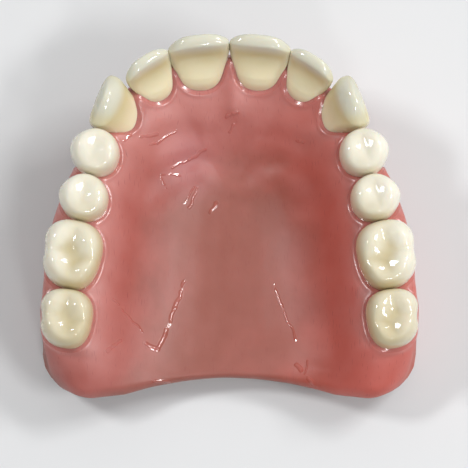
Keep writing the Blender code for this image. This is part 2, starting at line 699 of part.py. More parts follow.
def build_denture():
    clear_scene()
    denture = bpy.data.collections.new("upper_denture")
    cutters = bpy.data.collections.new("socket_cutters")
    bpy.context.scene.collection.children.link(denture)
    bpy.context.scene.collection.children.link(cutters)
    frame = bpy.data.objects.new("denture_frame", None)
    denture.objects.link(frame)
    enamel = principled("tooth_acrylic", (0.80, 0.74, 0.58), 0.22)
    gum = principled("gum_acrylic", (0.62, 0.20, 0.19), 0.28)
    build_base(denture, cutters, frame, gum)
    for side, side_name in ((1, "left"), (-1, "right")):
        for tooth in LEFT_TEETH:
            name = f"{side_name}_{tooth.name}"
            placed = tooth_object(name, tooth, side, 0.0, denture, frame)
            placed.data.materials.append(enamel)
            cutter = tooth_object(f"{name}_socket", tooth, side, SOCKET_GAP, cutters, frame)
            cutter.hide_render = True
            cutter.display_type = "WIRE"
    centre_on_origin(frame, [piece for piece in denture.objects if piece.type == "MESH"])


build_denture()
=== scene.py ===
"""A full upper denture lying with its teeth up: a pink acrylic base that carries fourteen acrylic teeth.

Metres, +Z up, +Y towards the front teeth, +X to the wearer's left.
"""

import math
from dataclasses import dataclass

import bmesh
import bpy
from mathutils import Euler, Matrix, Vector, noise
from mathutils.bvhtree import BVHTree
from mathutils.geometry import interpolate_bezier, intersect_point_line


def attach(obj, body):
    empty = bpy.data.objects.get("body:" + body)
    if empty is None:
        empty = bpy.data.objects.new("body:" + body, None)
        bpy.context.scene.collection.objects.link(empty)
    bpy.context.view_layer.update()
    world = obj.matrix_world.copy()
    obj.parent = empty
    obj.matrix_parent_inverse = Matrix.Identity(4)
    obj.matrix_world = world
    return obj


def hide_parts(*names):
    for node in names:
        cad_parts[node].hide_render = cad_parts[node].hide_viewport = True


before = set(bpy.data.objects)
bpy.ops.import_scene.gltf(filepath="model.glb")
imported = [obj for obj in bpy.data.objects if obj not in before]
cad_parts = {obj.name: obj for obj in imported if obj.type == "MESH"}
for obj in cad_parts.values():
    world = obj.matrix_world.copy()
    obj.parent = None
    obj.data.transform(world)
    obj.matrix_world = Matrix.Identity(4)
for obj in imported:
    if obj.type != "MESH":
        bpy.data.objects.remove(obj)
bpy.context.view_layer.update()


# The camera looks down on the teeth from the open rear side of the arch, 15 degrees off straight
# down. The denture is under 60 mm across, and a long lens keeps both sides of the arch upright.
CAMERA_RISE = math.radians(75.0)
CAMERA_DISTANCE = 0.350
CAMERA_AIM = Vector((0.0, -0.00395, 0.018))
VIEW_HALF_WIDTH = 0.0351
VIEW_SHIFT_X = 0.0096

camera_data = bpy.data.cameras.new("bench_camera")
camera_data.angle = 2 * math.atan(VIEW_HALF_WIDTH / CAMERA_DISTANCE)
camera_data.shift_x = VIEW_SHIFT_X
camera_data.clip_start = 0.01
camera = bpy.data.objects.new("bench_camera", camera_data)
back_and_up = Vector((0.0, -math.cos(CAMERA_RISE), math.sin(CAMERA_RISE)))
camera.location = CAMERA_AIM + back_and_up * CAMERA_DISTANCE
camera.rotation_euler = (math.pi / 2 - CAMERA_RISE, 0.0, 0.0)
bpy.context.collection.objects.link(camera)
bpy.context.scene.camera = camera


# Front teeth: two central incisors, two lateral incisors and two canines. Each is a moulded acrylic
# tooth with a clear, whitish edge over a creamy body. It is set in wax along the arch line, side by
# side with its neighbours, and its neck is held in the base once the acrylic is cured.
ARCH_FRONT_Y = 0.0256
ARCH_FRONT_HANDLE = 0.0110
ARCH_CORNER_X = 0.0192
ARCH_CORNER_Y = 0.0126
ARCH_CORNER_TURN = math.radians(71.0)
ARCH_CORNER_HANDLE_FRONT = 0.0095
ARCH_CORNER_HANDLE_BACK = 0.0078
ARCH_BACK_X = 0.0243
ARCH_BACK_Y = -0.0200
ARCH_BACK_HANDLE = 0.0120
ARCH_SAMPLES = 400
ARCH_SHIFT_Y = 0.00073
EDGE_HEIGHT_FRONT = 0.0215
EDGE_HEIGHT_BACK = 0.0186
CONTACT_GAP = 0.00033
TONGUE_TAPER = 0.20
WIDEST_LEVELS = (0.0, 0.4, 0.75, 1.0)
WIDEST_SHARES = (0.34, 0.28, 0.38, 0.50)
NEAR_CURVE = 0.0004
FAR_CURVE = 0.0006
HOLLOW_DEPTH = 0.0005
NEAR_CORNER = 0.0008
FAR_CORNER = 0.0017
INCISOR_PLAN_POWER = 0.58
CANINE_PLAN_POWER = 0.32
CANINE_TIP_ROUND = 0.34
CANINE_TIP_SIDE = -0.08
CANINE_NEAR_SLOPE = 0.0019
CANINE_FAR_SLOPE = 0.0023
SNUG = 0.0001
FRONT_NECK_ROUND = 0.0010
TOOTH_CUTS = 39


@dataclass
class Tooth:
    """One tooth of the left side. Lean tips the biting edge towards the lip or cheek and twist turns
    the tooth about +Z, in degrees. Out and drop move it off the arch line and down, and middle is
    its place along the line.
    """

    name: str
    form: str
    width: float
    depth: float
    height: float
    lean: float = 0.0
    twist: float = 0.0
    out: float = 0.0
    drop: float = 0.0
    middle: float = 0.0


FRONT_TEETH = [
    Tooth("central_incisor", "incisor", 0.0093, 0.0062, 0.0112, lean=11.0, twist=2.0),
    Tooth("lateral_incisor", "incisor", 0.0076, 0.0055, 0.0102, lean=10.0, twist=3.0, drop=0.0004),
    Tooth("canine", "canine", 0.0081, 0.0070, 0.0108, lean=2.0, twist=-5.0, out=0.0008),
]


def through(stops, values, at):
    """The smooth curve through the values at rising stops, read at one place (cubic Hermite)."""
    at = min(max(at, stops[0]), stops[-1])
    last = len(stops) - 2
    i = min(last, max(k for k in range(last + 1) if stops[k] <= at))
    span = stops[i + 1] - stops[i]

    def slope(k):
        low, high = max(k - 1, 0), min(k + 1, last + 1)
        return (values[high] - values[low]) / (stops[high] - stops[low])

    t = (at - stops[i]) / span
    eased = t * t * (3 - 2 * t)
    start_bend = t * (1 - t) ** 2 * span * slope(i)
    end_bend = t * t * (1 - t) * span * slope(i + 1)
    return values[i] + (values[i + 1] - values[i]) * eased + start_bend - end_bend


def signed_power(value, power):
    return math.copysign(abs(value) ** power, value)


class Arch:
    """The arch line, read by the distance walked along it from the midline."""

    def __init__(self):
        along = Vector((math.cos(ARCH_CORNER_TURN), -math.sin(ARCH_CORNER_TURN)))
        front = Vector((0.0, ARCH_FRONT_Y))
        corner = Vector((ARCH_CORNER_X, ARCH_CORNER_Y))
        back = Vector((ARCH_BACK_X, ARCH_BACK_Y))
        first = interpolate_bezier(
            front,
            front + Vector((ARCH_FRONT_HANDLE, 0.0)),
            corner - along * ARCH_CORNER_HANDLE_FRONT,
            corner,
            ARCH_SAMPLES,
        )
        second = interpolate_bezier(
            corner,
            corner + along * ARCH_CORNER_HANDLE_BACK,
            back + Vector((0.0, ARCH_BACK_HANDLE)),
            back,
            ARCH_SAMPLES,
        )
        self.points = [Vector(p[:2]) for p in first] + [Vector(p[:2]) for p in second[1:]]
        self.walked = [0.0]
        for a, b in zip(self.points, self.points[1:]):
            self.walked.append(self.walked[-1] + (b - a).length)

    def at(self, distance):
        """The point at that distance. Past its end the line runs straight back."""
        past = distance - self.walked[-1]
        if past >= 0:
            return self.points[-1] + Vector((0.0, -past))
        i = next(k for k, w in enumerate(self.walked) if w > distance)
        share = (distance - self.walked[i - 1]) / (self.walked[i] - self.walked[i - 1])
        return self.points[i - 1].lerp(self.points[i], share)

    def heading(self, distance, step=0.0004):
        """The direction of travel, away from the midline, as an angle about +Z."""
        ahead = self.at(distance + step) - self.at(max(distance - step, 0.0))
        return math.atan2(ahead.y, ahead.x)


def edge_height(y):
    """Height of the plane of the biting edges, which falls a little towards the rear."""
    share = (y - ARCH_BACK_Y) / (ARCH_FRONT_Y - ARCH_BACK_Y)
    return EDGE_HEIGHT_BACK + (EDGE_HEIGHT_FRONT - EDGE_HEIGHT_BACK) * share


def shovel_level(polar, tooth, edge_end, neck_start, edge_round):
    """A front tooth's width as a share, its height from the edge, and the depth of its neck, at a
    place on the way over it from the middle of the edge to the middle of the neck's end.
    """
    neck = tooth.height - FRONT_NECK_ROUND
    if polar < edge_end:
        lift = polar / edge_end * math.pi / 2
        return math.sin(lift), -edge_round * (1 - math.cos(lift)), neck
    if polar < neck_start:
        share = (polar - edge_end) / (neck_start - edge_end)
        return 1.0, -edge_round - (neck - edge_round) * share, neck
    lift = (polar - neck_start) / (1 - neck_start) * math.pi / 2
    return math.cos(lift), -neck - (tooth.height - neck) * math.sin(lift), neck


def front_outline(turn, half, front, back, level, plan_power, tooth):
    """The plan of a front tooth at one level: widest at its contacts, boxy in front and rounder
    behind. A lower power makes it boxier.
    """
    across, along = math.sin(turn), math.cos(turn)
    inner = max(-across, 0.0)
    middle = front + (back - front) * through(WIDEST_LEVELS, WIDEST_SHARES, level)
    reach = front - middle if across > 0 else middle - back
    y = middle + reach * signed_power(across, 0.85 + 0.10 * inner)
    taper = 1 - TONGUE_TAPER * max(-y, 0.0) / tooth.depth
    return half * taper * signed_power(along, plan_power + 0.24 * inner), y, middle


def incisor_point(polar, turn, tooth):
    """A point of an incisor: a shovel with a rounded edge, a hollow behind and a thick neck."""
    scale, z, neck = shovel_level(polar, tooth, edge_end=0.20, neck_start=0.86, edge_round=0.0011)
    level = min(-z / neck, 1.0)
    half = tooth.width / 2 * through((0.0, 0.2, 0.45, 0.8, 1.0), (0.95, 1.0, 0.97, 0.77, 0.66), level)
    front = tooth.depth * through((0.0, 0.2, 0.5, 0.8, 1.0), (0.13, 0.18, 0.18, 0.07, -0.04), level)
    back_levels = (0.0, 0.16, 0.38, 0.56, 0.76, 1.0)
    back = tooth.depth * through(back_levels, (-0.13, -0.24, -0.36, -0.50, -0.66, -0.68), level)
    x, y, middle = front_outline(turn, half, front, back, level, INCISOR_PLAN_POWER, tooth)
    x, y = x * scale, middle + (y - middle) * scale
    side = x / half
    y -= (NEAR_CURVE if side < 0 else FAR_CURVE) * abs(side) ** 3
    if turn < 0:
        hollow = HOLLOW_DEPTH * math.sin(math.pi * min(max((level - 0.08) / 0.56, 0.0), 1.0))
        y += hollow * (1 - min(side**2, 1.0)) ** 1.5 * -math.sin(turn)
    corner = NEAR_CORNER if side < 0 else FAR_CORNER
    return Vector((x, y, z - corner * abs(side) ** 3 * (1 - level) ** 3))


def canine_point(polar, turn, tooth):
    """A point of a canine: one blunt cusp that falls off to either side, boxy and with a thick neck."""
    scale, z, neck = shovel_level(polar, tooth, edge_end=0.26, neck_start=0.86, edge_round=0.0018)
    level = min(-z / neck, 1.0)
    half = tooth.width / 2 * through((0.0, 0.25, 0.5, 0.8, 1.0), (0.97, 1.0, 0.97, 0.88, 0.80), level)
    front = tooth.depth * through((0.0, 0.22, 0.45, 0.8, 1.0), (0.14, 0.25, 0.29, 0.18, 0.04), level)
    back_levels = (0.0, 0.18, 0.38, 0.56, 0.76, 1.0)
    back = tooth.depth * through(back_levels, (-0.16, -0.28, -0.42, -0.53, -0.65, -0.66), level)
    x, y, middle = front_outline(turn, half, front, back, level, CANINE_PLAN_POWER, tooth)
    x, y = x * scale, middle + (y - middle) * scale
    side = x / half - CANINE_TIP_SIDE
    slope = CANINE_NEAR_SLOPE if side < 0 else CANINE_FAR_SLOPE
    fall = slope * (math.hypot(side, CANINE_TIP_ROUND) - CANINE_TIP_ROUND)
    return Vector((x, y, z - fall * (1 - level) ** 2))


class Signal:
    """An output of a shader node. Arithmetic on signals adds the Math nodes that work it out."""

    def __init__(self, tree, socket=None):
        self.tree = tree
        self.socket = socket

    def node(self, kind, settings=None, sockets=None, output=0):
        """Adds a node: its settings first, then the values or signals of its sockets."""
        made = self.tree.nodes.new(kind)
        for name, value in (settings or {}).items():
            setattr(made, name, value)
        for name, value in (sockets or {}).items():
            if isinstance(value, Signal):
                self.tree.links.new(value.socket, made.inputs[name])
            else:
                made.inputs[name].default_value = value
        return Signal(self.tree, made.outputs[output])

    def math(self, operation, *values):
        return self.node("ShaderNodeMath", {"operation": operation}, dict(enumerate(values)))

    def __add__(self, other):
        return self.math("ADD", self, other)

    __radd__ = __add__

    def __sub__(self, other):
        return self.math("SUBTRACT", self, other)

    def __rsub__(self, other):
        return self.math("SUBTRACT", other, self)

    def __mul__(self, other):
        return self.math("MULTIPLY", self, other)

    __rmul__ = __mul__

    def __abs__(self):
        return self.math("ABSOLUTE", self)


def rise(signal, start, end):
    """0 up to start and 1 from end on, with a smooth step between."""
    ends = {"Value": signal, "From Min": start, "From Max": end}
    return signal.node("ShaderNodeMapRange", {"interpolation_type": "SMOOTHSTEP"}, ends)


def bell(signal, middle, half_width):
    """1 where the signal is at the middle, 0 from half_width away on."""
    return 1 - rise(abs(signal - middle), 0.0, half_width)


def blend(share, start, end):
    """A colour that goes from start to end as the share goes from 0 to 1."""
    return share.node("ShaderNodeMix", {"data_type": "RGBA"}, {0: share, 6: start, 7: end}, output=2)


def cloud(point, scale, detail=2.0, roughness=0.5):
    """Soft noise from 0 to 1, with that many patches to the metre."""
    sockets = {"Vector": point, "Scale": scale, "Detail": detail, "Roughness": roughness}
    return point.node("ShaderNodeTexNoise", {}, sockets)


def split(vector):
    """The x, y and z of a vector signal."""
    return [vector.node("ShaderNodeSeparateXYZ", {}, {0: vector}, output=k) for k in range(3)]


ACRYLIC_IOR = 1.49
MILLIMETRE = 0.001


def acrylic(name, roughness, glow, glow_depth, gloss):
    """A material of polished acrylic that lets light in a little way, by so many millimetres of red,
    green and blue. Its colour is set later.
    """
    material = bpy.data.materials.new(name)
    material.use_nodes = True
    shader = material.node_tree.nodes["Principled BSDF"]
    shader.inputs["Roughness"].default_value = roughness
    shader.inputs["Subsurface Weight"].default_value = glow
    shader.inputs["Subsurface Radius"].default_value = glow_depth
    shader.inputs["Subsurface Scale"].default_value = MILLIMETRE
    shader.inputs["Specular IOR Level"].default_value = gloss
    shader.inputs["IOR"].default_value = ACRYLIC_IOR
    return material


def finish_acrylic(material, colour, height, bump_depth, roughness=None):
    """Wires the colour and the height of the fine relief into the material."""
    shader = material.node_tree.nodes["Principled BSDF"]
    links = material.node_tree.links
    links.new(colour.socket, shader.inputs["Base Color"])
    sockets = {"Height": height, "Distance": bump_depth, "Strength": 1.0}
    links.new(height.node("ShaderNodeBump", {}, sockets).socket, shader.inputs["Normal"])
    if roughness is not None:
        links.new(roughness.socket, shader.inputs["Roughness"])


EDGE_WHITE = (0.70, 0.69, 0.57, 1.0)
FRONT_BODY = (0.87, 0.79, 0.54, 1.0)
FRONT_HOLLOW_SHADE = (0.68, 0.60, 0.34, 1.0)
FRONT_NECK = (0.84, 0.66, 0.46, 1.0)
TOOTH_GRAIN = 900.0
TOOTH_GRAIN_DEPTH = 0.00002


def front_acrylic():
    """A whitish edge and sides, a yellower hollow under the edge that is darkened with painted shade, a
    cream body and a warm neck.
    """
    material = acrylic("front_tooth_shade", 0.09, 0.35, (1.2, 0.9, 0.6), 0.5)
    start = Signal(material.node_tree)
    place = start.node("ShaderNodeAttribute", {"attribute_name": "tooth_place"}, output=1)
    side, across, level = split(place)
    point = start.node("ShaderNodeTexCoord", output=3)
    patches = cloud(point, 420.0)
    wavy_level = level + (patches - 0.5) * 0.05
    # The hollow under the edge: a yellower tone, darkened with painted shade.
    colour = blend(rise(wavy_level, 0.08, 0.27), EDGE_WHITE, FRONT_HOLLOW_SHADE)
    colour = blend(rise(wavy_level, 0.22, 0.55), colour, FRONT_BODY)
    colour = blend(rise(wavy_level, 0.62, 0.95), colour, FRONT_NECK)
    colour = blend(rise(abs(side), 0.70, 1.0) * 0.45, colour, EDGE_WHITE)
    colour = blend(rise(patches, 0.35, 0.75) * 0.10, colour, EDGE_WHITE)
    finish_acrylic(material, colour, cloud(point, TOOTH_GRAIN, 3.0), TOOTH_GRAIN_DEPTH)
    return material


def tooth_mesh(name, tooth, side, form):
    """A cube that is cut fine, rounded to a ball and moved point by point to the tooth's form."""
    bm = bmesh.new()
    bmesh.ops.create_cube(bm, size=2.0)
    bmesh.ops.subdivide_edges(bm, edges=bm.edges[:], cuts=TOOTH_CUTS, use_grid_fill=True)
    place = bm.verts.layers.float_vector.new("tooth_place")
    for vert in bm.verts:
        ball = Vector([math.tan(c * math.pi / 4) for c in vert.co]).normalized()
        polar = math.acos(min(max(ball.z, -1.0), 1.0)) / math.pi
        vert.co = form(polar, math.atan2(ball.y, ball.x), tooth)
        vert.co.x *= 1 + 2 * SNUG / tooth.width
        vert[place] = (2 * vert.co.x / tooth.width, 2 * vert.co.y / tooth.depth, -vert.co.z / tooth.height)
    heading = ARCH.heading(tooth.middle)
    outward = Vector((-math.sin(heading), math.cos(heading)))
    spot = ARCH.at(tooth.middle) + outward * tooth.out
    turn = Euler((-math.radians(tooth.lean), 0.0, heading + math.radians(tooth.twist)))
    seat = Vector((spot.x, spot.y + ARCH_SHIFT_Y, edge_height(spot.y) - tooth.drop))
    bmesh.ops.transform(bm, matrix=Matrix.LocRotScale(seat, turn, None), verts=bm.verts)
    if side < 0:
        bmesh.ops.scale(bm, vec=(-1.0, 1.0, 1.0), verts=bm.verts)
        bmesh.ops.reverse_faces(bm, faces=bm.faces)
    mesh = bpy.data.meshes.new(name)
    bm.to_mesh(mesh)
    bm.free()
    mesh.shade_smooth()
    return mesh


def set_teeth(teeth, forms, material):
    """Sets the teeth of both sides along the arch, after those that are set already."""
    for tooth in teeth:
        tooth.middle = TOOTH_ENDS[-1] + tooth.width / 2
        TOOTH_ENDS.append(TOOTH_ENDS[-1] + tooth.width + CONTACT_GAP)
        for side, side_name in ((1, "left"), (-1, "right")):
            node = f"{side_name}_{tooth.name}"
            mesh = tooth_mesh(f"{node}_tooth", tooth, side, forms[tooth.form])
            mesh.materials.append(material)
            piece = bpy.data.objects.new(f"{node}_tooth", mesh)
            bpy.context.collection.objects.link(piece)
            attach(piece, "root")
            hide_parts(node)
            SET_TEETH.append(piece)


ARCH = Arch()
TOOTH_ENDS = [CONTACT_GAP / 2]
SET_TEETH = []
FRONT_FORMS = {"incisor": incisor_point, "canine": canine_point}
set_teeth(FRONT_TEETH, FRONT_FORMS, front_acrylic())


# Back teeth: four premolars and four molars, moulded in the same acrylic as the front teeth but whiter on
# the cusps. They are darker and a little yellower down in the grooves and on the rear molars, which is
# painted shade, and the premolars are lightened with painted light. They are set upright and close
# together, with their necks held in the base.
BACK_TEETH = [
    Tooth("first_premolar", "premolar", 0.0069, 0.0076, 0.0084),
    Tooth("second_premolar", "premolar", 0.0069, 0.0076, 0.0084),
    Tooth("first_molar", "molar", 0.0102, 0.0097, 0.0082),
    Tooth("second_molar", "molar", 0.0086, 0.0086, 0.0078),
]
CUSP_SOFTNESS = 0.00032
SHOULDER_SOFTNESS = 0.00030
GROOVE_WIDTH = 0.00042
GROOVE_DEPTH = 0.00006
MOLAR_CHEEK_TAPER = 0.06
MOLAR_TONGUE_TAPER = 0.28
MOLAR_SKEW = 0.08
MOLAR_DENT = 0.07
MOLAR_DENT_TURN = math.radians(88)
MOLAR_DENT_SPREAD = 0.20
PREMOLAR_CHEEK_NARROWING = 0.26
PREMOLAR_TONGUE_NARROWING = 0.05
BACK_NECK_ROUND = 0.0009


def soft_max(values, softness):
    top = max(values)
    return top + softness * math.log(sum(math.exp((v - top) / softness) for v in values))


def soft_min(values, softness):
    return -soft_max([-v for v in values], softness)


def segment_distance(x, y, start, end):
    """How far a point is from a line between two points, and the share of the line it lies beside."""
    run, step = end[0] - start[0], end[1] - start[1]
    share = ((x - start[0]) * run + (y - start[1]) * step) / max(run * run + step * step, 1e-12)
    share = min(max(share, 0.0), 1.0)
    return math.hypot(x - start[0] - run * share, y - start[1] - step * share), share


def ridge(x, y, start, end, slope=0.55, tip=0.0010):
    """Height of a ridge between two points, each given as (x, y, drop under the cusps' height)."""
    away, share = segment_distance(x, y, start, end)
    drop = start[2] + (end[2] - start[2]) * share
    return -drop - slope * (math.hypot(away, tip) - tip)


def grooved(x, y, lines):
    """How deep the grooves along the lines go at a point."""
    away = min(segment_distance(x, y, a, b)[0] for line in lines for a, b in zip(line, line[1:]))
    return GROOVE_DEPTH * math.exp(-((away / GROOVE_WIDTH) ** 2))


def premolar_top(x, y, tooth):
    """Height of a premolar's top: a cheek cusp and a lower tongue cusp, with a groove between."""
    w, d = tooth.width, tooth.depth
    cheek, tongue = (-0.02 * w, 0.27 * d, 0.0), (-0.05 * w, -0.27 * d, 0.0005)
    near, far = (-0.37 * w, 0.0, 0.0011), (0.37 * w, 0.0, 0.0011)
    centre = (0.0, 0.02 * d, 0.0013)
    corners = [cheek, near, tongue, far]
    heights = [ridge(x, y, a, b) for a, b in zip(corners, corners[1:] + corners[:1])]
    heights += [ridge(x, y, cheek, centre, 0.5), ridge(x, y, tongue, centre, 0.5)]
    groove = [[(-0.26 * w, 0.01 * d), (0.0, -0.02 * d), (0.26 * w, 0.01 * d)]]
    return soft_max(heights, CUSP_SOFTNESS) - grooved(x, y, groove)


def molar_top(x, y, tooth):
    """Height of a molar's top: four cusps on a rim, with grooves that run out over its sides."""
    w, d = tooth.width, tooth.depth
    near_cheek, far_cheek = (-0.24 * w, 0.29 * d, 0.0001), (0.21 * w, 0.28 * d, 0.0002)
    near_tongue, far_tongue = (-0.17 * w, -0.27 * d, 0.0), (0.27 * w, -0.24 * d, 0.0007)
    near, far = (-0.40 * w, 0.02 * d, 0.0010), (0.40 * w, 0.0, 0.0012)
    centre, far_pit = (-0.04 * w, 0.03 * d, 0.0018), (0.20 * w, -0.06 * d, 0.0016)
    cheek_dip, tongue_dip = (0.0, 0.36 * d, 0.0012), (0.10 * w, -0.32 * d, 0.0012)
    rim = [near_cheek, cheek_dip, far_cheek, far, far_tongue, tongue_dip, near_tongue, near]
    heights = [ridge(x, y, a, b) for a, b in zip(rim, rim[1:] + rim[:1])]
    heights += [
        ridge(x, y, near_cheek, centre, 0.5),
        ridge(x, y, far_cheek, (0.06 * w, 0.0, 0.0014), 0.5),
        ridge(x, y, near_tongue, (0.03 * w, -0.02 * d, 0.0014), 0.45),
        ridge(x, y, far_tongue, far_pit, 0.5),
    ]
    grooves = [
        [(-0.30 * w, 0.0), (-0.10 * w, 0.04 * d), (0.0, 0.14 * d), (0.0, 0.52 * d)],
        [(0.30 * w, 0.02 * d), (0.16 * w, -0.04 * d), (0.12 * w, -0.18 * d), (0.08 * w, -0.50 * d)],
    ]
    return soft_max(heights, CUSP_SOFTNESS) - grooved(x, y, grooves)


def premolar_outline(turn, tooth):
    """An egg, rounder towards the tongue and more pointed towards the cheek."""
    x = tooth.width / 2 * signed_power(math.cos(turn), 0.90)
    y = tooth.depth / 2 * signed_power(math.sin(turn), 0.96)
    narrowing = PREMOLAR_CHEEK_NARROWING if y > 0 else PREMOLAR_TONGUE_NARROWING
    return x * (1 - narrowing * (2 * y / tooth.depth) ** 2), y


def molar_outline(turn, tooth):
    """A rounded box, wider at its front end, with a dent where the outer groove runs down."""
    x = tooth.width / 2 * signed_power(math.cos(turn), 0.76)
    y = tooth.depth / 2 * signed_power(math.sin(turn), 0.82)
    along = 2 * x / tooth.width
    taper = MOLAR_CHEEK_TAPER if y > 0 else MOLAR_TONGUE_TAPER
    y *= 1 - taper * (along + 1) / 2
    dent = MOLAR_DENT * math.exp(-(((turn - MOLAR_DENT_TURN) / MOLAR_DENT_SPREAD) ** 2))
    return x - MOLAR_SKEW * y, y * (1 - dent)


def cheek_tooth_point(polar, turn, tooth):
    """A point of a premolar or molar: cusps and grooves on top, a full waist and a narrower neck."""
    waist, neck_start = 0.54, 0.84
    waist_drop, dome = 0.0040, 0.0006
    neck_drop = tooth.height - BACK_NECK_ROUND
    neck_share = 0.84
    outline = molar_outline if tooth.form == "molar" else premolar_outline
    top = molar_top if tooth.form == "molar" else premolar_top
    outline_x, outline_y = outline(turn, tooth)
    if polar < waist:
        lift = polar / waist * math.pi / 2
        reach = math.sin(lift) ** 0.80
        x, y = outline_x * reach, outline_y * reach
        shoulder = -waist_drop + (waist_drop + dome) * math.cos(lift) ** 0.72
        z = soft_min((shoulder, top(x, y, tooth)), SHOULDER_SOFTNESS)
    elif polar < neck_start:
        share = (polar - waist) / (neck_start - waist)
        reach = 1 - (1 - neck_share) * share**1.7
        x, y = outline_x * reach, outline_y * reach
        start = soft_min((-waist_drop, top(outline_x, outline_y, tooth)), SHOULDER_SOFTNESS)
        z = start + (-neck_drop - start) * share
    else:
        lift = (polar - neck_start) / (1 - neck_start) * math.pi / 2
        reach = neck_share * math.cos(lift)
        x, y = outline_x * reach, outline_y * reach
        z = -neck_drop - (tooth.height - neck_drop) * math.sin(lift)
    return Vector((x, y, z))


CUSP_WHITE = (0.76, 0.71, 0.55, 1.0)
CHEEK_WHITE_AND_PAINTED_LIGHT = (0.88, 0.85, 0.74, 1.0)
BACK_BODY = (0.65, 0.56, 0.35, 1.0)
BACK_PAINTED_SHADE = (0.58, 0.49, 0.29, 1.0)
BACK_NECK = (0.81, 0.64, 0.42, 1.0)


def back_acrylic():
    """White cusps, a yellower body, painted shade in the grooves and on the rear molars, a warm neck,
    whiter cheek sides, and premolars lightened with painted light.
    """
    material = acrylic("back_tooth_shade", 0.09, 0.35, (1.2, 0.9, 0.6), 0.5)
    start = Signal(material.node_tree)
    place = start.node("ShaderNodeAttribute", {"attribute_name": "tooth_place"}, output=1)
    side, across, level = split(place)
    point = start.node("ShaderNodeTexCoord", output=3)
    forward = split(point)[1]
    patches = cloud(point, 380.0)
    wavy_level = level + (patches - 0.5) * 0.04
    middle = (1 - rise(abs(side), 0.35, 0.85)) * (1 - rise(abs(across), 0.35, 0.85))
    colour = blend(rise(wavy_level, 0.03, 0.22), CUSP_WHITE, BACK_BODY)
    colour = blend(rise(across, -0.10, 0.75) * 0.75, colour, CHEEK_WHITE_AND_PAINTED_LIGHT)
    # Painted shade: the grooves and pits in the middle of the top are darkened.
    colour = blend(rise(wavy_level, 0.04, 0.15) * middle, colour, BACK_PAINTED_SHADE)
    # Painted light: the teeth towards the front, the premolars, are lightened.
    colour = blend(rise(forward, -0.008, 0.006) * 0.6, colour, CHEEK_WHITE_AND_PAINTED_LIGHT)
    # Painted shade: the rear molars are darkened towards the back.
    colour = blend((1 - rise(forward, -0.018, -0.009)) * 0.45, colour, BACK_PAINTED_SHADE)
    colour = blend(rise(wavy_level, 0.60, 0.90), colour, BACK_NECK)
    finish_acrylic(material, colour, cloud(point, TOOTH_GRAIN, 3.0), TOOTH_GRAIN_DEPTH)
    return material


BACK_FORMS = {"premolar": cheek_tooth_point, "molar": cheek_tooth_point}
set_teeth(BACK_TEETH, BACK_FORMS, back_acrylic())


# The base: one piece of pink acrylic, pressed and cured round the necks of the teeth. The palate
# plate, the ridge that holds the teeth and the thin flange are all one. Its upper side is carved
# and polished, with a rolled collar round each neck; its fitting side is left as it came.
FLANGE_THICKNESS = 0.0024
FLANGE_WALL_SHARE = 0.35
RIDGE_WALL_IN = 0.0007
RIDGE_WALL_DOWN = 0.0018
PALATE_THICKNESS = 0.0021
BORDER_RADIUS = 0.0012
BORDER_SIDE = 0.8
BORDER_LIFT = 0.7
LIP_NOTCH_HEIGHT = 0.0034
LIP_NOTCH_WIDTH = 0.0018
CHEEK_NOTCH_HEIGHT = 0.0024
CHEEK_NOTCH_WIDTH = 0.0026
CHEEK_NOTCH_BEHIND_CANINE = 0.0010
LAST_PAPILLA_REACH = 0.0015
PAPILLA_INNER_SHARE = 0.2
ROOT_BULGE = 0.0005
TUBEROSITY_LENGTH = 0.0066
END_ROUNDING = 0.0012
CORNER_SWEEP = 0.0067
CORNER_START_OUT = -0.0040
CORNER_END_OUT = 0.0041
CORNER_LENGTH = 0.0156
REAR_BOW = 0.0007
REAR_BOW_REACH = 0.0160
STATION_SPACING = 0.00034
END_STATIONS = 6
PALATE_SHARES = (0.0, 0.12, 0.30, 0.52, 0.76)
SECTION_STEPS = (7, 12, 14, 15, 16, 15, 12, 9, 6, 4)

# Height of the palate's upper face along the midline, from its rear edge to the front teeth.
MIDLINE_Y = (-0.0240, -0.0150, -0.0050, 0.0030, 0.0080, 0.0130, 0.0190)
MIDLINE_UP = (0.0052, 0.0042, 0.0040, 0.0046, 0.0062, 0.0092, 0.0133)

# The cross-section at six places along the arch: the midline, the canine, the second premolar, the
# first molar, the last tooth's end and the rear edge. "Out" is measured from the arch line, away
# from the palate, and "up" from the bench.
SPINE_Y = (0.0062, 0.0042, -0.0015, -0.0075, -0.0190, -0.0238)
RISE_POWER = (1.5, 1.9, 2.5, 2.6, 2.5, 2.4)
LINGUAL_OUT = (-0.0052, -0.0047, -0.0041, -0.0047, -0.0044, -0.0050)
LINGUAL_UP = (0.0137, 0.0137, 0.0138, 0.0132, 0.0124, 0.0084)
PLATFORM_OUT = (-0.0022, -0.0020, 0.0000, 0.0000, 0.0000, -0.0008)
PLATFORM_UP = (0.0139, 0.0138, 0.0140, 0.0134, 0.0128, 0.0088)
LABIAL_OUT = (-0.0010, 0.0004, 0.0037, 0.0041, 0.0037, 0.0022)
LABIAL_UP = (0.0124, 0.0122, 0.0128, 0.0126, 0.0120, 0.0076)
PAPILLA_UP = (0.0026, 0.0018, 0.0016, 0.0013, 0.0006, 0.0000)
FLANGE_OUT = (-0.0010, 0.0004, 0.0039, 0.0041, 0.0038, 0.0030)
FLANGE_UP = (0.0066, 0.0062, 0.0068, 0.0062, 0.0060, 0.0050)
BORDER_OUT = (-0.0024, -0.0014, 0.0032, 0.0038, 0.0038, 0.0032)
BORDER_UP = (0.0006, -0.0009, 0.0012, -0.0009, -0.0006, 0.0026)
CREST_OUT = (-0.0058, -0.0050, -0.0008, -0.0004, -0.0004, -0.0012)
CREST_UP = (0.0086, 0.0088, 0.0090, 0.0088, 0.0084, 0.0066)
SHOULDER_OUT = (-0.0086, -0.0084, -0.0042, -0.0046, -0.0046, -0.0052)
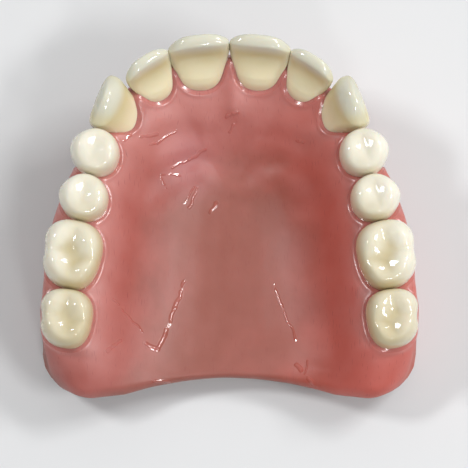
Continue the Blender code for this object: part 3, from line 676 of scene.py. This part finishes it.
SHOULDER_UP = (0.0072, 0.0074, 0.0074, 0.0072, 0.0068, 0.0056)

ARCH_END = TOOTH_ENDS[-1] + TUBEROSITY_LENGTH
PLACES = (
    0.0,
    FRONT_TEETH[2].middle,
    BACK_TEETH[1].middle,
    BACK_TEETH[2].middle,
    TOOTH_ENDS[-1],
    ARCH_END,
)


def along_arch(sizes, distance):
    return through(PLACES, sizes, distance)


def between_teeth(distance):
    """1 where two teeth meet, falling to 0 at the middle of a tooth and behind the last one."""
    if distance > TOOTH_ENDS[-1]:
        return max(0.0, 1 - (distance - TOOTH_ENDS[-1]) / LAST_PAPILLA_REACH)
    starts = (0.0, *TOOTH_ENDS[1:-1])
    start, end = next(pair for pair in zip(starts, TOOTH_ENDS[1:]) if distance <= pair[1])
    return math.cos(math.pi * (distance - start) / (end - start)) ** 2


def border_height(distance):
    """Height of the flange's edge, with notches at the midline and behind each canine."""
    cheek_notch = TOOTH_ENDS[3] + CHEEK_NOTCH_BEHIND_CANINE
    lip = LIP_NOTCH_HEIGHT * math.exp(-((distance / LIP_NOTCH_WIDTH) ** 2))
    cheek = CHEEK_NOTCH_HEIGHT * math.exp(-(((distance - cheek_notch) / CHEEK_NOTCH_WIDTH) ** 2))
    return along_arch(BORDER_UP, distance) + lip + cheek


def smooth_line(controls, steps):
    """Points of the smooth line through the controls, with so many steps in each of its spans."""
    walked = [0.0]
    for a, b in zip(controls, controls[1:]):
        walked.append(walked[-1] + (b - a).length)
    line = [controls[0]]
    for start, end, count in zip(walked, walked[1:], steps):
        line += [through(walked, controls, start + (end - start) * k / count) for k in range(1, count + 1)]
    return line


def section(distance, closing):
    """One cross-section of the base: the upper skin out to the flange's edge, then the tissue skin
    back to the midline. Closing draws the two skins together, up to 1 at the rear edge.
    """
    spot = ARCH.at(distance)
    spine = Vector((0.0, along_arch(SPINE_Y, distance)))
    reach = (spot - spine).length
    ray = (spot - spine) / reach
    power = along_arch(RISE_POWER, distance)
    meeting = between_teeth(distance)
    papilla = along_arch(PAPILLA_UP, distance) * meeting
    bulge = ROOT_BULGE * (0.5 - meeting)

    def control(out, up, more=0.0):
        return Vector((along_arch(out, distance), along_arch(up, distance) + more))

    def palate(share, rim, depth):
        """A point of the palate, which rises from the midline's own height to the rim."""
        rim_y = (spot + ray * rim.x).y
        out = -reach + (reach + rim.x) * share
        floor = through(MIDLINE_Y, MIDLINE_UP, (spot + ray * out).y) - depth
        climb = rim.y - through(MIDLINE_Y, MIDLINE_UP, rim_y) + depth
        return Vector((out, floor + climb * share**power))

    lingual = control(LINGUAL_OUT, LINGUAL_UP)
    flange = control(FLANGE_OUT, FLANGE_UP) + Vector((bulge, 0.0))
    border = Vector((along_arch(BORDER_OUT, distance), border_height(distance)))
    shoulder = control(SHOULDER_OUT, SHOULDER_UP)
    crest = control(CREST_OUT, CREST_UP)
    upper = smooth_line(
        (
            *(palate(share, lingual, 0.0) for share in PALATE_SHARES),
            lingual + Vector((0.0, papilla * PAPILLA_INNER_SHARE)),
            control(PLATFORM_OUT, PLATFORM_UP, papilla),
            control(LABIAL_OUT, LABIAL_UP, papilla),
            flange,
            border + Vector((BORDER_SIDE, BORDER_LIFT)) * BORDER_RADIUS,
            border,
        ),
        SECTION_STEPS,
    )
    inner_flange = flange - Vector((FLANGE_THICKNESS, (flange.y - border.y) * FLANGE_WALL_SHARE))
    tissue = smooth_line(
        (
            *(palate(share, shoulder, PALATE_THICKNESS) for share in PALATE_SHARES),
            shoulder,
            crest,
            Vector((inner_flange.x - RIDGE_WALL_IN, crest.y - RIDGE_WALL_DOWN)),
            inner_flange,
            border + Vector((-BORDER_SIDE, BORDER_LIFT)) * BORDER_RADIUS,
            border,
        ),
        SECTION_STEPS,
    )
    sweep_share = max(0.0, 1 - (ARCH_END - distance) / CORNER_LENGTH) ** 1.5

    def placed(point, partner):
        out, up = point.lerp((point + partner) / 2, closing)
        on_plan = spot + ray * out
        swing = max(0.0, (out - CORNER_START_OUT) / (CORNER_END_OUT - CORNER_START_OUT)) ** 2
        bow = min(on_plan.x / REAR_BOW_REACH, 1.0)
        on_plan.y += (CORNER_SWEEP * swing + REAR_BOW * 4 * bow * (1 - bow)) * sweep_share
        return Vector((on_plan.x, on_plan.y + ARCH_SHIFT_Y, max(up, 0.0)))

    there = [placed(a, b) for a, b in zip(upper, tissue)]
    back = [placed(b, a) for a, b in zip(upper, tissue)]
    return there + back[-2::-1]


def base_sections():
    """The cross-sections of the left half, from the midline to the rear edge, where the skins close."""
    last_full = ARCH_END - END_ROUNDING
    count = round(last_full / STATION_SPACING)
    stations = [(last_full * k / count, 0.0) for k in range(count + 1)]
    for k in range(1, END_STATIONS + 1):
        turn = k / END_STATIONS * math.pi / 2
        stations.append((last_full + END_ROUNDING * math.sin(turn), 1 - math.cos(turn)))
    return [section(distance, closing) for distance, closing in stations]


# Relief of the palate: the small pad behind the front teeth and the soft folds on either side.
# Each fold is start, bend and end on plan, then its height and half its width, and the last one is
# a shallow dip. The vault is smoothed between two distances off the midline and two values of Y.
PALATE_FOLDS = (
    ((0.0006, 0.0172), (0.0008, 0.0185), (0.0006, 0.0198), 0.00050, 0.00130),
    ((-0.0040, 0.0150), (-0.0075, 0.0162), (-0.0120, 0.0140), 0.00032, 0.00150),
    ((-0.0042, 0.0118), (-0.0080, 0.0115), (-0.0125, 0.0085), 0.00036, 0.00160),
    ((-0.0045, 0.0085), (-0.0080, 0.0070), (-0.0115, 0.0035), 0.00028, 0.00150),
    ((0.0040, 0.0148), (0.0080, 0.0155), (0.0120, 0.0130), 0.00022, 0.00150),
    ((0.0045, 0.0115), (0.0080, 0.0115), (0.0125, 0.0090), 0.00026, 0.00160),
    ((0.0050, 0.0082), (0.0085, 0.0072), (0.0115, 0.0040), 0.00020, 0.00150),
    ((-0.0045, 0.0080), (0.0022, 0.0052), (0.0092, 0.0086), 0.00020, 0.00150),
    ((0.0005, 0.0100), (0.0025, 0.0092), (0.0045, 0.0100), -0.00050, 0.00420),
)
VAULT_SIDES = (0.0011, 0.0095)
VAULT_REACH = (0.0030, 0.0180)
VAULT_PASSES = 12
COLLAR_HEIGHT = 0.00016
COLLAR_OUT = 0.00055
COLLAR_WIDTH = 0.00030
MARGIN_REACH = 0.0040
HAND_WAVES = 0.00006
HAND_WAVE_COUNT = 260.0
FOLD_FACES_UP = 0.3
MERGE_DISTANCE = 0.00001


def fold_lines():
    """Each fold as a smooth row of points on plan, with its height and half width."""
    lines = []
    for start, bend, end, height, half_width in PALATE_FOLDS:
        points = interpolate_bezier(*(Vector((*p, 0.0)) for p in (start, bend, bend, end)), 8)
        lines.append((points, height, half_width))
    return lines


def fold_height(spot, lines):
    """Height of the palate's folds at a place on plan."""
    total = 0.0
    for points, height, half_width in lines:
        nearest = 1.0
        for a, b in zip(points, points[1:]):
            share = intersect_point_line(spot, a, b)[1]
            nearest = min(nearest, (spot - a.lerp(b, min(max(share, 0.0), 1.0))).length)
        total += height * math.exp(-((nearest / half_width) ** 2))
    return total


def teeth_tree():
    """All the teeth as one search tree, to tell how far a place on the base is from a tooth."""
    bm = bmesh.new()
    for piece in SET_TEETH:
        bm.from_mesh(piece.data)
    tree = BVHTree.FromBMesh(bm)
    bm.free()
    return tree


def carve_base(bm, margin, polished):
    """Raises the collars round the necks and the palate's folds, and leaves the polisher's waves."""
    tree = teeth_tree()
    folds = fold_lines()
    bm.normal_update()
    carved = []
    for vert in bm.verts:
        distance = tree.find_nearest(vert.co, MARGIN_REACH)[3] or MARGIN_REACH
        vert[margin] = distance / MARGIN_REACH
        step = vert.normal * HAND_WAVES * noise.noise(vert.co * HAND_WAVE_COUNT)
        if vert[polished] > 0.5:
            collar = math.exp(-(((distance - COLLAR_OUT) / COLLAR_WIDTH) ** 2))
            step += vert.normal * COLLAR_HEIGHT * collar
            if vert.normal.z > FOLD_FACES_UP and distance > COLLAR_OUT:
                step.z += fold_height(Vector((vert.co.x, vert.co.y - ARCH_SHIFT_Y, 0.0)), folds)
        carved.append(vert.co + step)
    for vert, place in zip(bm.verts, carved):
        vert.co = (place.x, place.y, max(place.z, 0.0))


def smooth_vault(bm, polished):
    """Takes the slight edges between the cross-sections out of the front of the palate."""
    (near, far), (rear, front) = VAULT_SIDES, VAULT_REACH
    upper = [v for v in bm.verts if v[polished] > 0.5]
    vault = [v for v in upper if near < abs(v.co.x) < far and rear < v.co.y < front]
    for _ in range(VAULT_PASSES):
        bmesh.ops.smooth_vert(bm, verts=vault, factor=0.5, use_axis_z=True)


def base_mesh():
    """A grid laid over the left half's cross-sections, mirrored, smoothed in front and carved."""
    sections = base_sections()
    along, across = len(sections) - 1, len(sections[0]) - 1
    bm = bmesh.new()
    bmesh.ops.create_grid(bm, x_segments=along, y_segments=across, size=1.0)
    margin = bm.verts.layers.float.new("margin_distance")
    polished = bm.verts.layers.float.new("polished")
    for vert in bm.verts:
        i = round((vert.co.x + 1) / 2 * along)
        j = round((vert.co.y + 1) / 2 * across)
        vert.co = sections[i][j]
        vert[polished] = 1.0 if j <= across / 2 else 0.0
    bmesh.ops.mirror(bm, geom=bm.verts[:] + bm.edges[:] + bm.faces[:], axis="X", merge_dist=MERGE_DISTANCE)
    bmesh.ops.remove_doubles(bm, verts=bm.verts, dist=MERGE_DISTANCE)
    bmesh.ops.recalc_face_normals(bm, faces=bm.faces)
    smooth_vault(bm, polished)
    carve_base(bm, margin, polished)
    mesh = bpy.data.meshes.new("denture_base_acrylic")
    bm.to_mesh(mesh)
    bm.free()
    mesh.shade_smooth()
    return mesh


GUM_PALE_AND_SHEEN = (0.55, 0.200, 0.176, 1.0)
GUM_RED = (0.435, 0.112, 0.090, 1.0)
GUM_BROWN_SHADE = (0.30, 0.083, 0.057, 1.0)
GUM_SIDE_SHADE = (0.66, 0.070, 0.036, 1.0)
GUM_ROSE_SHEEN = (0.46, 0.140, 0.140, 1.0)
GUM_FIBRE = (0.24, 0.020, 0.022, 1.0)
GUM_SATIN = 0.50
GUM_RELIEF_DEPTH = 0.00006
NEAR_TOOTH_GLOSS = 0.30
WRINKLE_GLOSS = 0.85
WRINKLE_STEEPNESS = 3200


def swerved(point, scale, reach):
    """The point moved about by soft noise, so that what is laid along straight lines wavers."""
    sockets = {"Vector": point, "Scale": scale, "Detail": 1.0}
    bend = point.node("ShaderNodeTexNoise", {}, sockets, output=1)
    swerve = point.node("ShaderNodeVectorMath", {"operation": "SCALE"}, {0: bend, "Scale": reach})
    return point.node("ShaderNodeVectorMath", {"operation": "ADD"}, {0: point, 1: swerve})


def fibres(point, turn, share):
    """Short dyed threads that lie one way in the acrylic: 1 on a thread and 0 beside it."""
    bent = swerved(point, 260.0, 0.0012)
    laid = {"Vector": bent, "Rotation": (0.0, 0.0, turn), "Scale": (5200.0, 480.0, 900.0)}
    lanes = point.node("ShaderNodeMapping", {}, laid)
    cells = point.node("ShaderNodeTexVoronoi", {}, {"Vector": lanes, "Scale": 1.0})
    shade = point.node("ShaderNodeTexVoronoi", {}, {"Vector": lanes, "Scale": 1.0}, output=1)
    chosen = rise(split(shade)[0], 1 - share, 1 - share + 0.03)
    return chosen * (1 - rise(cells, 0.12, 0.34))


# Fine wrinkles of the palate, each from start to end on plan, with its half width.
WRINKLES = (
    ((-0.0086, 0.0099), (-0.0059, 0.0112), 0.00033),
    ((-0.0059, 0.0112), (-0.0032, 0.0127), 0.00030),
    ((-0.0131, 0.0132), (-0.0106, 0.0143), 0.00039),
    ((-0.0107, 0.0129), (-0.0077, 0.0150), 0.00024),
    ((-0.0118, 0.0125), (-0.0100, 0.0134), 0.00024),
    ((-0.0157, 0.0121), (-0.0148, 0.0134), 0.00030),
    ((-0.0100, 0.0085), (-0.0070, 0.0089), 0.00027),
    ((-0.0100, 0.0078), (-0.0095, 0.0068), 0.00030),
    ((-0.0044, 0.0070), (-0.0059, 0.0042), 0.00033),
    ((-0.0050, 0.0072), (-0.0066, 0.0046), 0.00024),
    ((-0.0026, 0.0036), (-0.0016, 0.0051), 0.00039),
    ((-0.0065, -0.0075), (-0.0078, -0.0117), 0.00042),
    ((-0.0078, -0.0117), (-0.0095, -0.0163), 0.00048),
    ((-0.0095, -0.0163), (-0.0106, -0.0186), 0.00055),
    ((-0.0106, -0.0186), (-0.0120, -0.0178), 0.00050),
    ((-0.0112, -0.0236), (-0.0082, -0.0236), 0.00042),
    ((0.0107, -0.0210), (0.0132, -0.0240), 0.00039),
    ((0.0124, -0.0206), (0.0120, -0.0226), 0.00027),
    ((0.0109, 0.0135), (0.0118, 0.0128), 0.00033),
    ((0.0073, -0.0078), (0.0106, -0.0170), 0.00024),
    ((0.0002, 0.0172), (0.0016, 0.0178), 0.00039),
    ((0.0006, 0.0152), (0.0012, 0.0160), 0.00030),
    ((-0.0172, -0.0120), (-0.0128, -0.0160), 0.00027),
    ((-0.0180, -0.0200), (-0.0160, -0.0180), 0.00033),
)


def wrinkle(point, start, end, half_width):
    """A fine wrinkle between two places on plan: 1 along its line, 0 from half_width away on."""
    run = Vector((*end, 0.0)) - Vector((*start, 0.0))
    along = run / run.length_squared

    def vector(operation, sockets, output=0):
        return point.node("ShaderNodeVectorMath", {"operation": operation}, sockets, output)

    offset = vector("SUBTRACT", {0: point, 1: (*start, 0.0)})
    offset = vector("MULTIPLY", {0: offset, 1: (1.0, 1.0, 0.0)})
    share = point.node("ShaderNodeClamp", {}, {0: vector("DOT_PRODUCT", {0: offset, 1: along}, 1)})
    reached = vector("SCALE", {0: run, "Scale": share})
    away = vector("DISTANCE", {0: offset, 1: reached}, 1)
    return 1 - rise(away, 0.0, half_width)


def gum_acrylic():
    """Pink acrylic with dyed threads: pale up by the teeth, red down the slopes and browner over the
    vault, where painted shade also darkens it. A rosy patch in front carries a painted sheen, and a deeper
    red on the right side is painted shade. It is satin, and glossy only close to the teeth and on the
    wrinkles, which are also paled with a painted sheen.
    """
    material = acrylic("gum_shade", GUM_SATIN, 0.30, (1.6, 0.5, 0.35), 0.8)
    start = Signal(material.node_tree)
    point = start.node("ShaderNodeTexCoord", output=3)
    side, forward, up = split(point)
    margin = start.node("ShaderNodeAttribute", {"attribute_name": "margin_distance"}, output=2)
    patches = cloud(point, 170.0, 3.0)
    wavy_up = up + (patches - 0.5) * 0.006
    # Browner and darker low over the vault: partly the resin's tone and partly painted shade.
    colour = blend(rise(wavy_up, 0.0045, 0.0100), GUM_BROWN_SHADE, GUM_RED)
    # A rosier, paler patch at the front on the left: partly the resin's tone and partly a painted sheen.
    rose_sheen = bell(side, -0.0065, 0.0065) * bell(forward, 0.0105, 0.0080)
    colour = blend(rose_sheen * 0.7, colour, GUM_ROSE_SHEEN)
    colour = blend(rise(wavy_up, 0.0085, 0.0150), colour, GUM_PALE_AND_SHEEN)
    # Painted shade: the slopes on the right side are a deeper, darker red.
    colour = blend(rise(side, 0.003, 0.018) * 0.4, colour, GUM_SIDE_SHADE)
    colour = blend((1 - rise(margin, 0.08, 0.42)) * 0.6, colour, GUM_PALE_AND_SHEEN)
    threads = fibres(point, 0.35, 0.16) + fibres(point, 1.35, 0.12) + fibres(point, 2.4, 0.12)
    colour = blend(threads * 0.32, colour, GUM_FIBRE)
    colour = blend(rise(patches, 0.3, 0.7) * 0.12, colour, GUM_PALE_AND_SHEEN)
    relief = cloud(point, 1400.0, 3.0) * 0.12 + cloud(point, 420.0, 2.0) * 0.5
    bent = swerved(point, 420.0, 0.0010)
    worn = rise(cloud(point, 700.0, 1.0), 0.30, 0.55)
    creased = 0.0
    for first, last, half_width in WRINKLES:
        crease = wrinkle(bent, first, last, half_width) * worn
        relief = relief + crease * (half_width * WRINKLE_STEEPNESS)
        creased = crease + creased
    near_tooth = 1 - rise(margin, 0.06, 0.30)
    roughness = GUM_SATIN - near_tooth * NEAR_TOOTH_GLOSS
    roughness = roughness * (1 - rise(creased, 0.02, 0.30) * WRINKLE_GLOSS)
    # Paler along the wrinkles: a painted sheen.
    colour = blend(rise(creased, 0.1, 0.8) * 0.35, colour, GUM_PALE_AND_SHEEN)
    finish_acrylic(material, colour, relief, GUM_RELIEF_DEPTH, roughness)
    return material


base = bpy.data.objects.new("denture_base_acrylic", base_mesh())
base.data.materials.append(gum_acrylic())
bpy.context.collection.objects.link(base)
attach(base, "root")
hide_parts("denture_base")


# The bench top: a plain board with pale grey paint. The denture only lies on it, on the lowest
# places of its flange's edge.
BENCH_HALF_WIDTH = 0.60
BENCH_ROUGHNESS = 0.6
BENCH_COLOUR = (0.74, 0.75, 0.76, 1.0)
BENCH_SHADE = (0.71, 0.72, 0.73, 1.0)


def bench_top():
    """The board's upper face, with its paint."""
    bm = bmesh.new()
    bmesh.ops.create_grid(bm, x_segments=1, y_segments=1, size=BENCH_HALF_WIDTH)
    mesh = bpy.data.meshes.new("bench_top")
    bm.to_mesh(mesh)
    bm.free()
    material = bpy.data.materials.new("bench_paint")
    material.use_nodes = True
    shader = material.node_tree.nodes["Principled BSDF"]
    shader.inputs["Roughness"].default_value = BENCH_ROUGHNESS
    point = Signal(material.node_tree).node("ShaderNodeTexCoord", output=3)
    colour = blend(cloud(point, 40.0, 3.0), BENCH_COLOUR, BENCH_SHADE)
    material.node_tree.links.new(colour.socket, shader.inputs["Base Color"])
    mesh.materials.append(material)
    return mesh


bench = bpy.data.objects.new("bench_top", bench_top())
bpy.context.collection.objects.link(bench)


# Studio light: a pale surround, brighter on the right, with two wide windows on the right, one lamp
# on the left and a small one at the rear. They leave the bright marks on the cusps and the wrinkles.
DIMMEST = 0.11
BRIGHTEST = 0.40
BRIGHT_SIDE = (0.72, 0.32, 0.62)


def lamp(name, place, width, height, watts):
    """A rectangular lamp that faces the denture."""
    data = bpy.data.lights.new(name, "AREA")
    data.shape = "RECTANGLE"
    data.size, data.size_y, data.energy = width, height, watts
    made = bpy.data.objects.new(name, data)
    made.location = place
    made.rotation_euler = Vector(place).to_track_quat("Z", "Y").to_euler()
    bpy.context.collection.objects.link(made)


lamp("window", (0.372, 0.198, 0.453), 0.220, 0.075, 1.45)
lamp("rear_window", (0.366, -0.190, 0.459), 0.170, 0.075, 1.15)
lamp("left_lamp", (-0.372, 0.110, 0.480), 0.120, 0.070, 1.25)
lamp("rear_lamp", (0.124, -0.434, 0.420), 0.070, 0.045, 0.40)

surround = bpy.data.worlds.new("surround")
surround.use_nodes = True
sky = Signal(surround.node_tree)
direction = sky.node("ShaderNodeTexCoord", output=0)
settings, sockets = {"operation": "DOT_PRODUCT"}, {0: direction, 1: BRIGHT_SIDE}
facing = sky.node("ShaderNodeVectorMath", settings, sockets, output=1)
brightness = rise(facing, -0.3, 1.0) * (BRIGHTEST - DIMMEST) + DIMMEST
background = surround.node_tree.nodes["Background"]
background.inputs["Color"].default_value = (1.0, 1.0, 1.0, 1.0)
surround.node_tree.links.new(brightness.socket, background.inputs["Strength"])
bpy.context.scene.world = surround
bpy.context.scene.view_settings.view_transform = "Standard"
